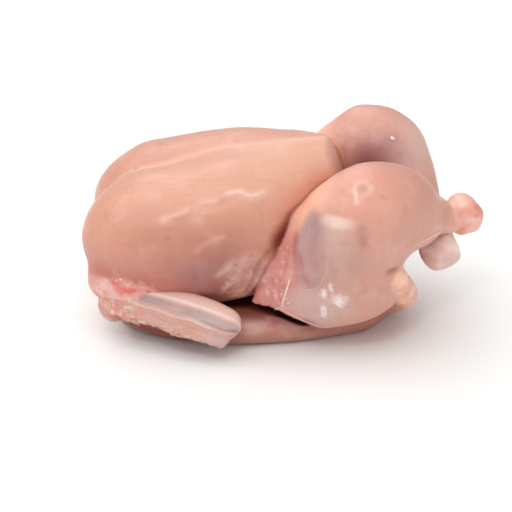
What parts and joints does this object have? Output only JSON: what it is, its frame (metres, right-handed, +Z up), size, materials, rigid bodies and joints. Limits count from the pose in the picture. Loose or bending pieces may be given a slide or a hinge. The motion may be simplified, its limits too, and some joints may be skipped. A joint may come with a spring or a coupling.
{
  "type": "whole raw chicken",
  "caption": "Whole raw skinless chicken, dressed, lying on its back with the breast up and the drumsticks crossed.",
  "frame": {"origin": "centre of the bird's bounding box, on the surface it lies on", "axes": "+X from the neck end to the crossed knuckles, +Z up from the back to the breast, -Y to the bird's own right side"},
  "size_m": [0.2488, 0.1534, 0.1248],
  "materials": {
    "flesh": "moist satin raw meat, peach to pink",
    "fat": "moist cream fat and tendon",
    "tissue": "wet torn pink tissue and membrane"
  },
  "bodies": {
    "root": {"whole_chicken": "flesh"}
  },
  "joints": []
}
